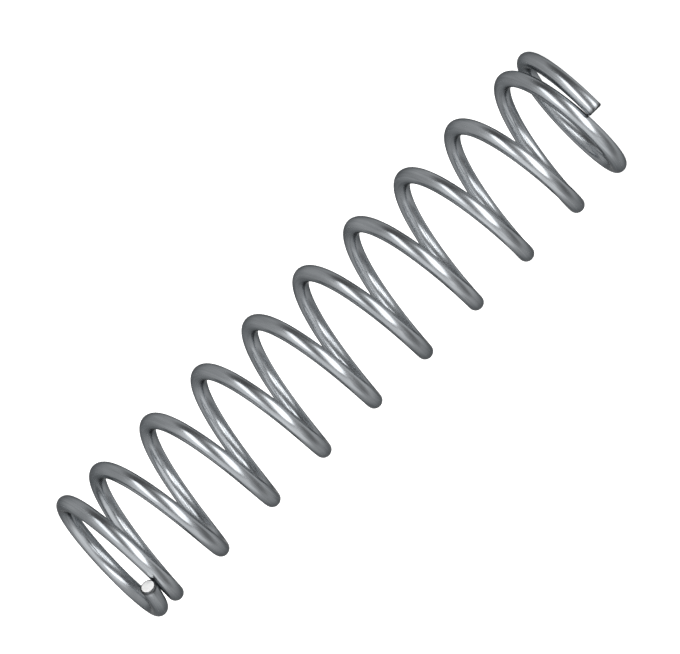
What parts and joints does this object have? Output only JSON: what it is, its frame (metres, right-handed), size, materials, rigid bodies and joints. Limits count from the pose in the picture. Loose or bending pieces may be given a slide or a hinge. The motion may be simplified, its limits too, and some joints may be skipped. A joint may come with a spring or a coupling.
{
  "type": "compression spring",
  "caption": "Small right-hand compression spring in bright round wire, with closed unground ends and an open bore.",
  "frame": {"origin": "on the spring's axis, at the surface that it stands on", "axes": "+Z along the spring's axis, from the foot to the head; the foot's wire tip is near -Y"},
  "size_m": [0.012, 0.0125, 0.0514],
  "materials": {
    "spring_wire": "bright hard-drawn wire, smooth along its length with fine die marks"
  },
  "bodies": {
    "root": {"coil_spring": "spring_wire"}
  },
  "joints": []
}
